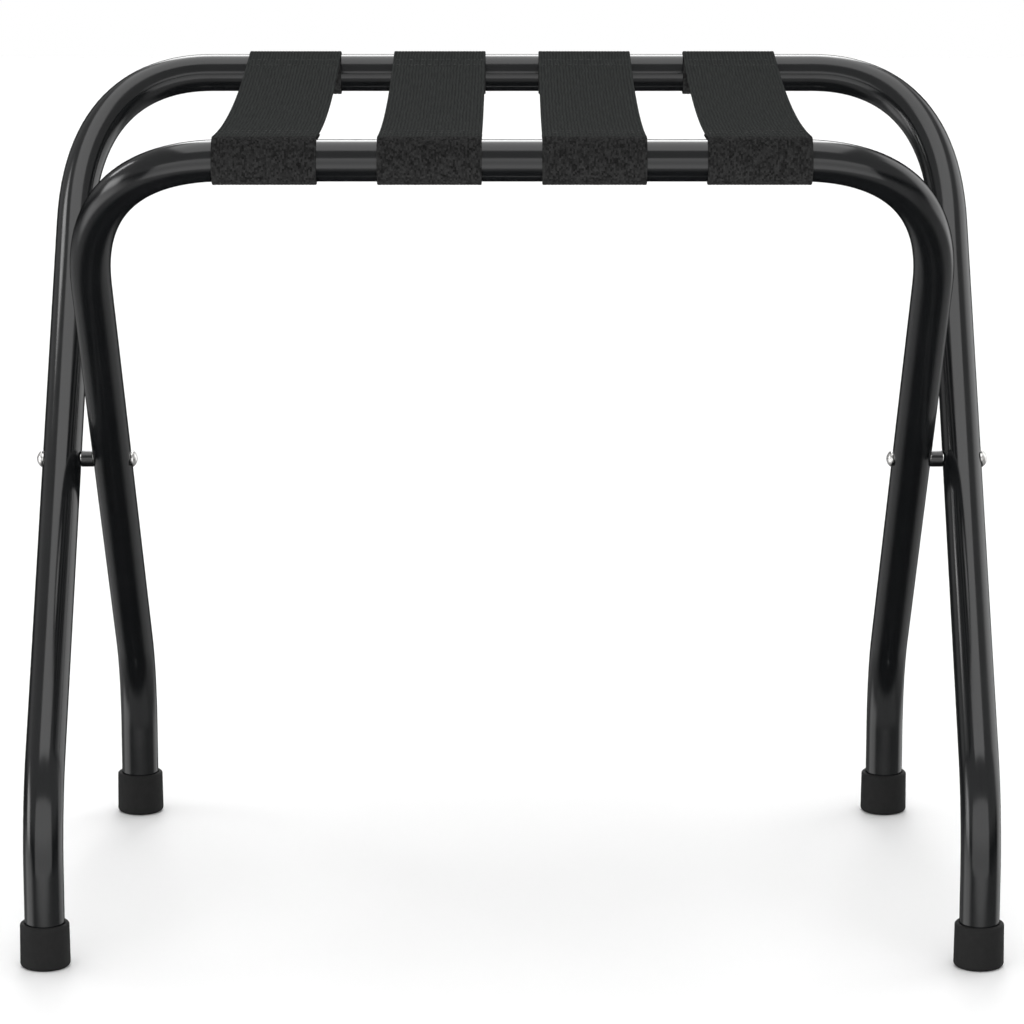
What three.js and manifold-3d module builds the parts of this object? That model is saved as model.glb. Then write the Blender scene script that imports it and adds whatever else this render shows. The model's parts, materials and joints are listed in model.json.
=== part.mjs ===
// Folding luggage rack. Two bent steel-tube frames cross at the middle of their legs, where a rivet and a
// spacer on each side let them fold like scissors. Four webbing straps run between the two top bars and stop
// the rack opening further, and a rubber cap with a steel washer inside it closes each of the four tube ends.
// Millimetres, +Z up. The rack stands open, with the origin on the floor under its middle. +X runs along the
// bars. +Y points to the back, where the bar of the wider, outer frame is.

import * as THREE from "three";
import { mergeVertices } from "three/addons/utils/BufferGeometryUtils.js";
import Module from "manifold-3d";

// Frames
const TUBE_DIAMETER = 22.4; // 7/8 inch tube with its coat
const TUBE_WALL = 1.2;
const OUTER_LEG_SPACING = 521; // between the centres of the outer frame's two legs
const LEG_GAP = 6.8; // between an outer and an inner leg, filled by the pivot spacer
const BAR_HEIGHT = 457.2; // from the floor to the centre of both bars
const BAR_SPREAD = 373; // between the centres of the two bars
const BEND_HEIGHT = 88.61; // where the lines of the slanted leg and of its upright foot meet
const FOOT_SPREAD = 311; // between the centres of the front and rear feet
const CORNER_ALONG_BAR = 78; // how far the soft corner under the bar's end reaches along the bar
const CORNER_ALONG_LEG = 109; // and along the leg
const CORNER_BAR_PULL = 40; // how long the corner curve holds the bar's direction
const CORNER_LEG_PULL = 85; // and the leg's
const LOWER_BEND_RADIUS = 90; // where the leg turns down to its foot

// Straps
const STRAP_COUNT = 4;
const STRAP_WIDTH = 55.6;
const STRAP_THICKNESS = 1.5;
const STRAP_SAG = 8.2; // at the middle of the span
const STRAP_INTO_CORNER = 6; // an outer strap's edge lies this far onto the almost straight start of the corner
const STRAP_GAP = 0.35; // between the bar and the loop round it
const HALF_GAP = 0.4; // between the two halves of a strap, at the middle of its span

// Pivots
const SHANK_DIAMETER = 6;
const HEAD_DIAMETER = 9.4;
const HEAD_HEIGHT = 3;
const SPACER_DIAMETER = 9.2;
const SHANK_INTO_CAP = 1.5;

// Feet
const CAP_HEIGHT = 25;
const CAP_FLOOR = 4;
const CAP_WALL = 2.3;
const CAP_TAPER = 0.25; // how much wider in radius the cap is at its foot
const CAP_FOOT_ROUND = 2.3;
const CAP_RIM_ROUND = 1.4;
const WASHER_THICKNESS = 1.2;
const WASHER_HOLE_DIAMETER = 6;

// Clearance between pieces that touch
const GAP = 0.3;

const TUBE_SIDES = 20;
const BORE_SIDES = 12;
const ROUND_SIDES = 24;
const CURVE_STEPS = 12;

const tubeRadius = TUBE_DIAMETER / 2;
const barY = BAR_SPREAD / 2;
const footY = FOOT_SPREAD / 2;
const outerLegX = OUTER_LEG_SPACING / 2;
const innerLegX = outerLegX - TUBE_DIAMETER - LEG_GAP;
const pivotHeight = BEND_HEIGHT + ((BAR_HEIGHT - BEND_HEIGHT) * footY) / (footY + barY);
const tubeEndHeight = CAP_FLOOR + WASHER_THICKNESS + 2 * GAP;
const capBore = tubeRadius + GAP;
const holeRadius = SHANK_DIAMETER / 2 + GAP;

const wasm = await Module();
wasm.setup();

function solidFrom(geometry) {
  const bare = geometry.clone();
  bare.deleteAttribute("normal");
  bare.deleteAttribute("uv");
  const merged = mergeVertices(bare, 1e-3);
  const vertProperties = merged.attributes.position.array;
  const triVerts = new Uint32Array(merged.index.array);
  return new wasm.Manifold(new wasm.Mesh({ numProp: 3, vertProperties, triVerts }));
}

function geometryFrom(solid) {
  const { vertProperties, triVerts } = solid.getMesh();
  const geometry = new THREE.BufferGeometry();
  geometry.setAttribute("position", new THREE.BufferAttribute(vertProperties, 3));
  geometry.setIndex(new THREE.BufferAttribute(triVerts, 1));
  geometry.computeVertexNormals();
  return geometry;
}

function named(name, geometry, material) {
  const mesh = new THREE.Mesh(geometry, material);
  mesh.name = name;
  return mesh;
}

const powderCoat = () => new THREE.MeshStandardMaterial({ color: 0x26282a, roughness: 0.35, metalness: 0.3 });
const webbing = () => new THREE.MeshStandardMaterial({ color: 0x343736, roughness: 0.95, metalness: 0 });
const rubber = () => new THREE.MeshStandardMaterial({ color: 0x262626, roughness: 0.85, metalness: 0 });
const brightSteel = () => new THREE.MeshStandardMaterial({ color: 0xd9dadb, roughness: 0.2, metalness: 1 });
const blackNylon = () => new THREE.MeshStandardMaterial({ color: 0x1a1a1a, roughness: 0.3, metalness: 0 });

// A line through chosen stations, so that a straight stretch takes one step and a bend takes several.
class StationLine extends THREE.Curve {
  constructor(stations) {
    super();
    this.stations = stations;
  }

  station(u) {
    return this.stations[Math.round(u * (this.stations.length - 1))];
  }

  getPointAt(u) {
    return this.station(u).point.clone();
  }

  getTangentAt(u) {
    return this.station(u).tangent.clone();
  }
}

function addStations(stations, curve, steps) {
  const first = stations.length === 0 ? 0 : 1;
  for (let k = first; k <= steps; k++) {
    const t = k / steps;
    stations.push({ point: curve.getPoint(t), tangent: curve.getTangent(t) });
  }
}

const along = (from, direction, distance) => from.clone().addScaledVector(direction, distance);

// The centre line of one frame. barSide is 1 where the bar is at the back and -1 where it is at the front, and
// the legs slant through the pivot to the feet on the other side.
function frameLine(legX, barSide) {
  const foot = new THREE.Vector3(legX, -barSide * footY, tubeEndHeight);
  const bend = new THREE.Vector3(legX, -barSide * footY, BEND_HEIGHT);
  const corner = new THREE.Vector3(legX, barSide * barY, BAR_HEIGHT);
  const up = new THREE.Vector3(0, 0, 1);
  const upLeg = corner.clone().sub(bend).normalize();
  const inward = new THREE.Vector3(-1, 0, 0);

  const turn = upLeg.angleTo(up);
  const setback = LOWER_BEND_RADIUS * Math.tan(turn / 2);
  const pull = (4 / 3) * LOWER_BEND_RADIUS * Math.tan(turn / 4);
  const bendStart = along(bend, up, -setback);
  const bendEnd = along(bend, upLeg, setback);
  const cornerStart = along(corner, upLeg, -CORNER_ALONG_LEG);
  const cornerEnd = along(corner, inward, CORNER_ALONG_BAR);
  const lowerBend = new THREE.CubicBezierCurve3(
    bendStart,
    along(bendStart, up, pull),
    along(bendEnd, upLeg, -pull),
    bendEnd,
  );
  const upperCorner = new THREE.CubicBezierCurve3(
    cornerStart,
    along(cornerStart, upLeg, CORNER_LEG_PULL),
    along(cornerEnd, inward, -CORNER_BAR_PULL),
    cornerEnd,
  );

  const half = [];
  addStations(half, new THREE.LineCurve3(foot, bendStart), 1);
  addStations(half, lowerBend, 6);
  addStations(half, new THREE.LineCurve3(bendEnd, cornerStart), 1);
  addStations(half, upperCorner, CURVE_STEPS);
  const mirrored = half.map(({ point, tangent }) => ({
    point: new THREE.Vector3(-point.x, point.y, point.z),
    tangent: new THREE.Vector3(tangent.x, -tangent.y, -tangent.z),
  }));
  return new StationLine([...half, ...mirrored.reverse()]);
}

function ringOutline(radius, sides) {
  const points = [];
  for (let k = 0; k < sides; k++) {
    const angle = (2 * Math.PI * k) / sides;
    points.push(new THREE.Vector2(radius * Math.cos(angle), radius * Math.sin(angle)));
  }
  return points;
}

// A hollow tube, open at both ends, with a rivet hole through both walls of each leg.
function frameTube(legX, barSide) {
  const section = new THREE.Shape(ringOutline(tubeRadius, TUBE_SIDES));
  section.holes.push(new THREE.Path(ringOutline(tubeRadius - TUBE_WALL, BORE_SIDES)));
  const path = frameLine(legX, barSide);
  const options = { steps: path.stations.length - 1, extrudePath: path, bevelEnabled: false };
  let solid = solidFrom(new THREE.ExtrudeGeometry(section, options));
  for (const side of [-1, 1]) {
    const drill = new THREE.CylinderGeometry(holeRadius, holeRadius, TUBE_DIAMETER + 4, BORE_SIDES);
    drill.rotateZ(Math.PI / 2);
    drill.translate(side * legX, 0, pivotHeight);
    solid = solid.subtract(solidFrom(drill));
  }
  return geometryFrom(solid);
}

// A lathe profile's points along an arc, given as [radius, height] pairs about a centre.
function arc(centre, radius, from, to, steps) {
  const points = [];
  for (let k = 0; k <= steps; k++) {
    const angle = from + ((to - from) * k) / steps;
    points.push([centre[0] + radius * Math.cos(angle), centre[1] + radius * Math.sin(angle)]);
  }
  return points;
}

// Turned pieces stand upright. Those of a pivot lie along X instead, with their top at the +X end.
function turned(profile, sides = ROUND_SIDES) {
  const points = profile.map(([radius, height]) => new THREE.Vector2(Math.max(radius, 0), height));
  return new THREE.LatheGeometry(points, sides).rotateX(Math.PI / 2);
}

const turnedAlongX = (profile, x) => turned(profile).rotateY(Math.PI / 2).translate(x, 0, 0);

function footCap() {
  const rim = capBore + CAP_WALL;
  const base = rim + CAP_TAPER;
  return turned([
    [0, 0],
    ...arc([base - CAP_FOOT_ROUND, CAP_FOOT_ROUND], CAP_FOOT_ROUND, -Math.PI / 2, 0, 4),
    ...arc([rim - CAP_RIM_ROUND, CAP_HEIGHT - CAP_RIM_ROUND], CAP_RIM_ROUND, 0, Math.PI / 2, 3),
    [capBore, CAP_HEIGHT],
    [capBore, CAP_FLOOR],
    [0, CAP_FLOOR],
  ]);
}

function footWasher() {
  const hole = WASHER_HOLE_DIAMETER / 2;
  const edge = capBore - GAP;
  const bottom = CAP_FLOOR + GAP;
  const top = bottom + WASHER_THICKNESS;
  return turned([
    [hole, bottom],
    [edge, bottom],
    [edge, top],
    [hole, top],
    [hole, bottom],
  ]);
}

// A dome of the given rim radius and height is part of a sphere. These are its points from rim to crown.
function dome(rim, base, height, steps) {
  const radius = (rim * rim + height * height) / (2 * height);
  const start = Math.asin((radius - height) / radius);
  return arc([0, base + height - radius], radius, start, Math.PI / 2, steps);
}

// The rivet's shank runs from its head, outside the outer leg, through both legs into the cap.
function pivotRivet() {
  const headSeat = outerLegX + tubeRadius + GAP;
  const shankEnd = innerLegX - tubeRadius - GAP - SHANK_INTO_CAP;
  const shank = SHANK_DIAMETER / 2;
  const length = headSeat - shankEnd;
  return turnedAlongX(
    [[0, 0], [shank, 0], [shank, length], ...dome(HEAD_DIAMETER / 2, length, HEAD_HEIGHT, 5)],
    shankEnd,
  );
}

// The cap is pressed on the shank's end, inside the inner leg, with its dome pointing to the middle.
function rivetCap() {
  const depth = SHANK_INTO_CAP + GAP;
  return turnedAlongX(
    [[0, depth], [holeRadius, depth], [holeRadius, 0], ...dome(HEAD_DIAMETER / 2, 0, HEAD_HEIGHT, 5)],
    0,
  )
    .rotateZ(Math.PI)
    .translate(innerLegX - tubeRadius - GAP, 0, 0);
}

// The spacer stays with the inner leg, so its inner end is hollowed to fit round that leg. Its outer end is flat,
// because the outer leg turns against it. slant is 1 or -1 for the way that the outer leg leans.
function pivotSpacer(slant) {
  const start = innerLegX + tubeRadius / 2;
  const length = outerLegX - tubeRadius - GAP - start;
  const outside = SPACER_DIAMETER / 2;
  const blank = turnedAlongX(
    [
      [holeRadius, 0],
      [outside, 0],
      [outside, length],
      [holeRadius, length],
      [holeRadius, 0],
    ],
    start,
  );
  const axis = new THREE.Vector3(0, -slant * (barY + footY), BAR_HEIGHT - BEND_HEIGHT).normalize();
  const leg = new THREE.CylinderGeometry(capBore, capBore, 4 * SPACER_DIAMETER, 2 * ROUND_SIDES);
  leg.applyQuaternion(new THREE.Quaternion().setFromUnitVectors(new THREE.Vector3(0, 1, 0), axis));
  leg.translate(innerLegX, 0, 0);
  return geometryFrom(solidFrom(blank).subtract(solidFrom(leg)));
}

// The front half of a strap: a loop round the front bar, and the sagging run from the loop's top to the middle
// of the span. The outline lies in the plane across the bar. It is centred on the strap's own width.
function strapHalf() {
  const ringInner = tubeRadius + STRAP_GAP;
  const ringOuter = ringInner + STRAP_THICKNESS;
  const slope = Math.atan((2 * STRAP_SAG) / barY);
  const join = slope + Math.acos(ringInner / ringOuter);
  const topY = -barY + ringOuter * Math.sin(slope);
  const topZ = BAR_HEIGHT + ringOuter * Math.cos(slope);
  const joinY = -barY + ringOuter * Math.sin(join);
  const joinZ = BAR_HEIGHT + ringOuter * Math.cos(join);
  const middleTop = topZ + (Math.tan(slope) * topY) / 2;
  const middleUnder = middleTop - STRAP_THICKNESS;
  const underPullY = joinY + (joinZ - middleUnder) / Math.tan(slope);

  const outline = new THREE.Shape();
  outline.moveTo(-HALF_GAP / 2, middleTop);
  outline.quadraticCurveTo(topY / 2, middleTop, topY, topZ);
  outline.absarc(-barY, BAR_HEIGHT, ringOuter, Math.PI / 2 - slope, Math.PI / 2 - join, false);
  outline.quadraticCurveTo(underPullY, middleUnder, -HALF_GAP / 2, middleUnder);
  outline.closePath();
  const bore = new THREE.Path();
  bore.absarc(-barY, BAR_HEIGHT, ringInner, 0, 2 * Math.PI, true);
  outline.holes.push(bore);

  const options = { depth: STRAP_WIDTH, curveSegments: CURVE_STEPS, bevelEnabled: false };
  const acrossBar = new THREE.Matrix4().makeBasis(
    new THREE.Vector3(0, 1, 0),
    new THREE.Vector3(0, 0, 1),
    new THREE.Vector3(1, 0, 0),
  );
  return new THREE.ExtrudeGeometry(outline, options)
    .translate(0, 0, -STRAP_WIDTH / 2)
    .applyMatrix4(acrossBar);
}

const rack = new THREE.Group();
rack.add(named("outer_frame_tube", frameTube(outerLegX, 1), powderCoat()));
rack.add(named("inner_frame_tube", frameTube(innerLegX, -1), powderCoat()));

// The outer frame's feet are at the front and the inner frame's at the rear.
for (const [sideName, side] of [["left", -1], ["right", 1]]) {
  for (const [endName, x, y] of [["front", outerLegX, -footY], ["rear", innerLegX, footY]]) {
    const cap = named(`foot_cap_${endName}_${sideName}`, footCap(), rubber());
    const washer = named(`foot_washer_${endName}_${sideName}`, footWasher(), brightSteel());
    cap.position.set(side * x, y, 0);
    washer.position.set(side * x, y, 0);
    rack.add(cap, washer);
  }

  const pivot = new THREE.Group();
  pivot.position.z = pivotHeight;
  pivot.rotation.z = side === 1 ? 0 : Math.PI;
  pivot.add(named(`pivot_rivet_${sideName}`, pivotRivet(), brightSteel()));
  pivot.add(named(`rivet_cap_${sideName}`, rivetCap(), brightSteel()));
  pivot.add(named(`pivot_spacer_${sideName}`, pivotSpacer(side), blackNylon()));
  rack.add(pivot);
}

// The straps share the straight stretch of the inner, shorter bar evenly, numbered from left to right.
const strapField = 2 * (innerLegX - CORNER_ALONG_BAR + STRAP_INTO_CORNER);
const strapPitch = (strapField - STRAP_WIDTH) / (STRAP_COUNT - 1);
for (let k = 0; k < STRAP_COUNT; k++) {
  const x = (k - (STRAP_COUNT - 1) / 2) * strapPitch;
  const front = named(`strap_${k + 1}_front_half`, strapHalf(), webbing());
  const back = named(`strap_${k + 1}_back_half`, strapHalf(), webbing());
  front.position.x = x;
  back.position.x = x;
  back.rotation.z = Math.PI;
  rack.add(front, back);
}

export default rack;
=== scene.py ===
# Folding luggage rack: the looks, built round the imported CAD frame. Metres, +Z up, +X along the bars, +Y to
# the back. Sections follow the way the rack is put together: frames, feet, pivots, straps, sewing.
import json
import math
import bmesh
import bpy
import numpy as np
from mathutils import Matrix, Vector


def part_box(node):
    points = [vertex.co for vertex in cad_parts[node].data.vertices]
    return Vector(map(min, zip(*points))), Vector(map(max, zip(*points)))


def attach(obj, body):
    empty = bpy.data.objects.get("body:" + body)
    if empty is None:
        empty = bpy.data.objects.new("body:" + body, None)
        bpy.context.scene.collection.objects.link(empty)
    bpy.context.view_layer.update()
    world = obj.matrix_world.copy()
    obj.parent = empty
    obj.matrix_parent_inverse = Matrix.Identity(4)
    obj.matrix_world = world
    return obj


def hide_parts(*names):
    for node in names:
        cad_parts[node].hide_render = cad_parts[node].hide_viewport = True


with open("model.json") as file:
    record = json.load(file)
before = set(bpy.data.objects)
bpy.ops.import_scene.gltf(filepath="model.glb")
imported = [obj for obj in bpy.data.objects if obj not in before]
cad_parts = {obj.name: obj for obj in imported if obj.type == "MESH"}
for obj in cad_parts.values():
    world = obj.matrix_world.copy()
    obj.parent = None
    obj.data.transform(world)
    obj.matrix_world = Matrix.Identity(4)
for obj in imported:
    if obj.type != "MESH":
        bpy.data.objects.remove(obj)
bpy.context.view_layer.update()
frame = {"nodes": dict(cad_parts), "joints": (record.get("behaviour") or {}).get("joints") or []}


# ---- Frames: two bent steel tubes ---------------------------------------------------------------------------
# Each frame is one length of 7/8 inch (22 mm) round steel tube, bent cold at four places, drilled for
# its rivets and powder coated semi-gloss black. The coat is smooth enough to mirror soft lights as bands,
# with a faint orange-peel ripple.
TUBE_DIAMETER = 0.0224
TUBE_WALL = 0.0012
TUBE_SIDES = 56
BEND_STEPS = 28
BEND_HEIGHT = 0.08861
LOWER_BEND_RADIUS = 0.090
CORNER_ALONG_BAR = 0.078
CORNER_ALONG_LEG = 0.109
CORNER_BAR_PULL = 0.040
CORNER_LEG_PULL = 0.085
TUBE_END = 0.0058
RIVET_HOLE = 0.0066
HOLE_MARGIN = 0.012
DRILL_OVERRUN = 0.004
DRILL_SIDES = 32

joints = {joint["name"]: joint for joint in frame["joints"]}
pivot_point = Vector(joints["fold"]["pos_m"])
front_bar = Vector(joints["front_strap_swing"]["pos_m"])
back_bar = Vector(joints["back_strap_swing"]["pos_m"])


def colour(hex_code):
    """An sRGB hex code as a linear colour."""
    channels = [int(hex_code[k:k + 2], 16) / 255 for k in (1, 3, 5)]
    return [c / 12.92 if c <= 0.04045 else ((c + 0.055) / 1.055) ** 2.4 for c in channels] + [1.0]


def add(tree, kind, inputs=None, **settings):
    """A new node in a tree, with its settings, its values and its links."""
    made = tree.nodes.new(kind)
    for key, value in settings.items():
        setattr(made, key, value)
    for key, value in (inputs or {}).items():
        if isinstance(value, bpy.types.NodeSocket):
            tree.links.new(value, made.inputs[key])
        else:
            made.inputs[key].default_value = value
    return made


def new_material(name, **shader_values):
    """A node material, its tree and its shader."""
    material = bpy.data.materials.new(name)
    material.use_nodes = True
    tree = material.node_tree
    shader = tree.nodes["Principled BSDF"]
    for key, value in shader_values.items():
        shader.inputs[key.replace("_", " ")].default_value = value
    return material, tree, shader


def feed(tree, socket, shader, key):
    """Links a socket to an input of the shader."""
    tree.links.new(socket, shader.inputs[key])


def plain_mesh(host, name):
    """The host's shape with its modifiers worked in."""
    bpy.context.view_layer.update()
    depsgraph = bpy.context.evaluated_depsgraph_get()
    mesh = bpy.data.meshes.new_from_object(host.evaluated_get(depsgraph), depsgraph=depsgraph)
    mesh.name = name
    return mesh


def new_piece(name, mesh, body, slot, *nodes):
    """A finished piece on its body, which hides the solids it stands for. The slot argument is not used."""
    piece = bpy.data.objects.new(name, mesh)
    bpy.context.scene.collection.objects.link(piece)
    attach(piece, body)
    if nodes:
        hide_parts(*nodes)
    return piece


def finish_faces(mesh, sharp_degrees=40):
    """Merges doubled points, turns every face outwards and shades all but the sharp edges smooth."""
    shell = bmesh.new()
    shell.from_mesh(mesh)
    bmesh.ops.remove_doubles(shell, verts=shell.verts, dist=1e-7)
    bmesh.ops.recalc_face_normals(shell, faces=shell.faces)
    shell.to_mesh(mesh)
    shell.free()
    mesh.shade_smooth()
    mesh.set_sharp_from_angle(angle=math.radians(sharp_degrees))
    return mesh


# Powder coat: the melted polyester powder levels to a gloss with a ripple about 1.6 mm across, which softens
# the edges of what it mirrors. The fine speckle in the roughness is the matting agent.
powder_coat, tree, shader = new_material(
    "semi_gloss_black_powder_coat", Base_Color=colour("#101112"), Roughness=0.16, IOR=1.5)
place = add(tree, "ShaderNodeTexCoord").outputs["Object"]
peel = add(tree, "ShaderNodeTexNoise", {"Vector": place, "Scale": 620.0, "Detail": 2.0, "Roughness": 0.5})
cloud = add(tree, "ShaderNodeTexNoise", {"Vector": place, "Scale": 38.0, "Detail": 3.0, "Roughness": 0.6})
gloss = add(tree, "ShaderNodeMapRange", {
    "Value": cloud.outputs["Fac"], "From Min": 0.3, "From Max": 0.7, "To Min": 0.13, "To Max": 0.19})
ripple = add(tree, "ShaderNodeBump", {"Height": peel.outputs["Fac"], "Strength": 0.35, "Distance": 0.00002})
tone = add(tree, "ShaderNodeMix", {
    0: cloud.outputs["Fac"], 6: colour("#0d0e0f"), 7: colour("#131415")}, data_type="RGBA")
feed(tree, tone.outputs[2], shader, "Base Color")
feed(tree, gloss.outputs["Result"], shader, "Roughness")
feed(tree, ripple.outputs["Normal"], shader, "Normal")

# The tube is swept along its centre line by a node tree, then given its wall and its rivet holes.
tube_tree = bpy.data.node_groups.new("bent_tube", "GeometryNodeTree")
tube_face = tube_tree.interface
tube_face.new_socket("Geometry", in_out="INPUT", socket_type="NodeSocketGeometry")
tube_line = tube_face.new_socket("Centre line", in_out="INPUT", socket_type="NodeSocketObject")
tube_size = tube_face.new_socket("Tube diameter", in_out="INPUT", socket_type="NodeSocketFloat")
tube_sides = tube_face.new_socket("Sides", in_out="INPUT", socket_type="NodeSocketInt")
tube_steps = tube_face.new_socket("Steps in a bend", in_out="INPUT", socket_type="NodeSocketInt")
tube_finish = tube_face.new_socket("Finish", in_out="INPUT", socket_type="NodeSocketMaterial")
tube_face.new_socket("Geometry", in_out="OUTPUT", socket_type="NodeSocketGeometry")
given = add(tube_tree, "NodeGroupInput").outputs
line = add(tube_tree, "GeometryNodeObjectInfo", {"Object": given["Centre line"]})
fine = add(tube_tree, "GeometryNodeSetSplineResolution", {
    "Geometry": line.outputs["Geometry"], "Resolution": given["Steps in a bend"]})
radius = add(tube_tree, "ShaderNodeMath", {0: given["Tube diameter"], 1: 0.5}, operation="MULTIPLY")
ring = add(tube_tree, "GeometryNodeCurvePrimitiveCircle", {
    "Resolution": given["Sides"], "Radius": radius.outputs[0]})
swept = add(tube_tree, "GeometryNodeCurveToMesh", {
    "Curve": fine.outputs["Geometry"], "Profile Curve": ring.outputs["Curve"], "Fill Caps": False})
real = add(tube_tree, "GeometryNodeRealizeInstances", {"Geometry": swept.outputs["Mesh"]})
coated = add(tube_tree, "GeometryNodeSetMaterial", {
    "Geometry": real.outputs["Geometry"], "Material": given["Finish"]})
add(tube_tree, "NodeGroupOutput", {"Geometry": coated.outputs["Geometry"]})


def centre_line(name, leg_x, bar, foot_y):
    """The middle of a bent tube: up from one foot, slanting to its bar, and down again on the other side."""
    up = Vector((0, 0, 1))
    inward = Vector((-1, 0, 0))
    foot = Vector((leg_x, foot_y, TUBE_END))
    bend = Vector((leg_x, foot_y, BEND_HEIGHT))
    corner = Vector((leg_x, bar.y, bar.z))
    pivot = Vector((leg_x, pivot_point.y, pivot_point.z))
    up_leg = (corner - bend).normalized()
    turn = up_leg.angle(up)
    setback = LOWER_BEND_RADIUS * math.tan(turn / 2)
    pull = 4 / 3 * LOWER_BEND_RADIUS * math.tan(turn / 4)
    bend_start = bend - up * setback
    bend_end = bend + up_leg * setback
    corner_start = corner - up_leg * CORNER_ALONG_LEG
    corner_end = corner + inward * CORNER_ALONG_BAR
    half = [
        (foot, None, None),
        (bend_start, None, bend_start + up * pull),
        (bend_end, bend_end - up_leg * pull, None),
        (pivot - up_leg * HOLE_MARGIN, None, None),
        (pivot + up_leg * HOLE_MARGIN, None, None),
        (corner_start, None, corner_start + up_leg * CORNER_LEG_PULL),
        (corner_end, corner_end - inward * CORNER_BAR_PULL, None),
    ]
    flip = Matrix.Scale(-1, 3, (1, 0, 0))
    other = [[p and flip @ p for p in (knot, after, before)] for knot, before, after in reversed(half)]
    knots = half + other
    curve = bpy.data.curves.new(name, "CURVE")
    curve.dimensions = "3D"
    spline = curve.splines.new("BEZIER")
    spline.bezier_points.add(len(knots) - 1)
    for point, (knot, before, after) in zip(spline.bezier_points, knots):
        point.co = knot
        point.handle_left_type = "FREE" if before else "VECTOR"
        point.handle_right_type = "FREE" if after else "VECTOR"
        if before:
            point.handle_left = before
        if after:
            point.handle_right = after
    made = bpy.data.objects.new(name, curve)
    bpy.context.scene.collection.objects.link(made)
    return made


def rivet_drill(leg_x):
    """Two rods across the legs, which cut the rivet holes."""
    drill = bmesh.new()
    for side in (-1, 1):
        place = Matrix.Translation((side * leg_x, pivot_point.y, pivot_point.z))
        bmesh.ops.create_cone(
            drill, cap_ends=True, segments=DRILL_SIDES, radius1=RIVET_HOLE / 2, radius2=RIVET_HOLE / 2,
            depth=TUBE_DIAMETER + DRILL_OVERRUN, matrix=place @ Matrix.Rotation(math.pi / 2, 4, "Y"))
    mesh = bpy.data.meshes.new("rivet_drill")
    drill.to_mesh(mesh)
    drill.free()
    made = bpy.data.objects.new("rivet_drill", mesh)
    bpy.context.scene.collection.objects.link(made)
    return made


def frame_tube(name, node, body, bar, foot_y):
    """One coated tube with its wall, its open ends and its rivet holes."""
    low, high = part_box(node)
    leg_x = (high.x - low.x - TUBE_DIAMETER) / 2
    line = centre_line(name + "_line", leg_x, bar, foot_y)
    host = bpy.data.objects.new(name + "_sweep", bpy.data.meshes.new(name + "_sweep"))
    bpy.context.scene.collection.objects.link(host)
    sweep = host.modifiers.new("sweep", "NODES")
    sweep.node_group = tube_tree
    sweep[tube_line.identifier] = line
    sweep[tube_size.identifier] = TUBE_DIAMETER
    sweep[tube_sides.identifier] = TUBE_SIDES
    sweep[tube_steps.identifier] = BEND_STEPS
    sweep[tube_finish.identifier] = powder_coat
    skin = finish_faces(plain_mesh(host, name + "_skin"))
    wall_host = bpy.data.objects.new(name + "_wall", skin)
    bpy.context.scene.collection.objects.link(wall_host)
    wall = wall_host.modifiers.new("wall", "SOLIDIFY")
    wall.thickness = TUBE_WALL
    wall.offset = -1
    drill = rivet_drill(leg_x)
    holes = wall_host.modifiers.new("rivet_holes", "BOOLEAN")
    holes.operation = "DIFFERENCE"
    holes.solver = "EXACT"
    holes.object = drill
    tube = finish_faces(plain_mesh(wall_host, name))
    for spare in (host, wall_host, drill, line):
        bpy.data.objects.remove(spare)
    return new_piece(name, tube, body, "powder_coated_tube", node)


front_foot = sum((Vector(c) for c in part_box("foot_cap_front_right")), Vector()) / 2
rear_foot = sum((Vector(c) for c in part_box("foot_cap_rear_right")), Vector()) / 2
outer_tube = frame_tube("outer_frame_steel_tube", "outer_frame_tube", "outer_frame", back_bar, front_foot.y)
inner_tube = frame_tube("inner_frame_steel_tube", "inner_frame_tube", "inner_frame", front_bar, rear_foot.y)


# ---- Feet: rubber caps over zinc-plated washers -------------------------------------------------------------
# A moulded rubber cap is pushed over each tube end, with a punched steel washer in its floor so that the tube
# doesn't cut through. The rubber is matte, dark grey rather than black, with a fine moulded grain.
CAP_SIDES = 72
CAP_HEIGHT = 0.025
CAP_FLOOR = 0.004
CAP_BORE = 0.0115
CAP_RIM = 0.0138
CAP_BASE = 0.01405
CAP_FOOT_ROUND = 0.0023
CAP_RIM_ROUND = 0.0014
FOOT_ROUND_STEPS = 10
RIM_ROUND_STEPS = 7
TREAD_RADII = (0.0042, 0.0072)
TREAD_WIDTH = 0.0009
TREAD_DEPTH = 0.0006


def arc_points(centre, radius, start, end, steps):
    """Points along an arc, as (radius, height) pairs."""
    turns = [start + (end - start) * k / steps for k in range(steps + 1)]
    return [(centre[0] + radius * math.cos(a), centre[1] + radius * math.sin(a)) for a in turns]


def turned_mesh(name, profile, sides, material):
    """A turned shape about the z axis, from a profile of (radius, height) points."""
    shell = bmesh.new()
    rings = []
    for radius, height in profile:
        turns = [2 * math.pi * k / sides for k in range(sides if radius else 1)]
        rings.append([shell.verts.new((radius * math.cos(a), radius * math.sin(a), height)) for a in turns])
    for low, high in zip(rings, rings[1:]):
        for k in range(sides):
            n = (k + 1) % sides
            corners = [low[k % len(low)], low[n % len(low)], high[n % len(high)], high[k % len(high)]]
            corners = list(dict.fromkeys(corners))
            if len(corners) > 2:
                shell.faces.new(corners)
    mesh = bpy.data.meshes.new(name)
    shell.to_mesh(mesh)
    shell.free()
    mesh.materials.append(material)
    return finish_faces(mesh)


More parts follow.
